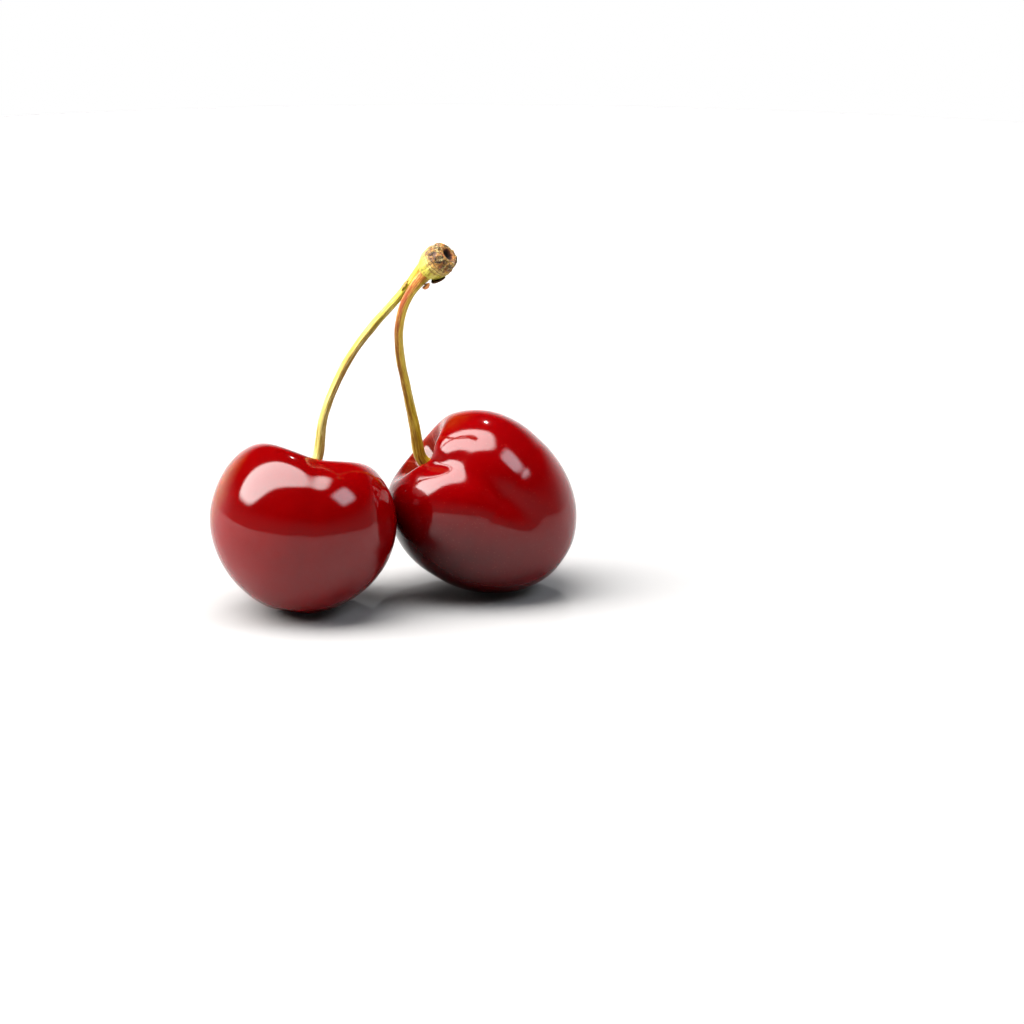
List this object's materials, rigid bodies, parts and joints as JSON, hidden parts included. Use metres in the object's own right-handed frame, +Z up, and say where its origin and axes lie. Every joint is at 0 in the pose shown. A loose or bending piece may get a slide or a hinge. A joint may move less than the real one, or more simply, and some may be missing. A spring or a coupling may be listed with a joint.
{
  "type": "cherries on stalks",
  "caption": "Ripe sweet cherries joined by thin curved stalks to one short woody spur end, resting on their rounded undersides with the stalks standing over them.",
  "frame": {"origin": "on the surface that the fruits rest on, under the middle of the whole object's box", "axes": "+Z up, +X from the left fruit to the right one, +Y away from the front, across the thin way of the object"},
  "size_m": [0.052, 0.0334, 0.0521],
  "materials": {
    "skin_bright": "bright crimson cherry skin, smooth and waxy, with a wet-looking gloss",
    "skin_dark": "darker crimson cherry skin, smooth and waxy, with fine pale specks",
    "stalk_green": "fresh yellow-green stalk with fine ridges, browned and reddened in places",
    "spur_bark": "yellow-green young bark with tan rings and a rough dark brown broken end",
    "dry_scale": "papery dry brown bud scale"
  },
  "bodies": {
    "root": {"cherry_left": "skin_bright", "cherry_right": "skin_dark", "stalk_left": "stalk_green", "stalk_right": "stalk_green", "spur_end": "spur_bark", "bud_scale_under": "dry_scale", "bud_scale_front": "dry_scale", "bud_scale_left": "dry_scale"}
  },
  "joints": []
}
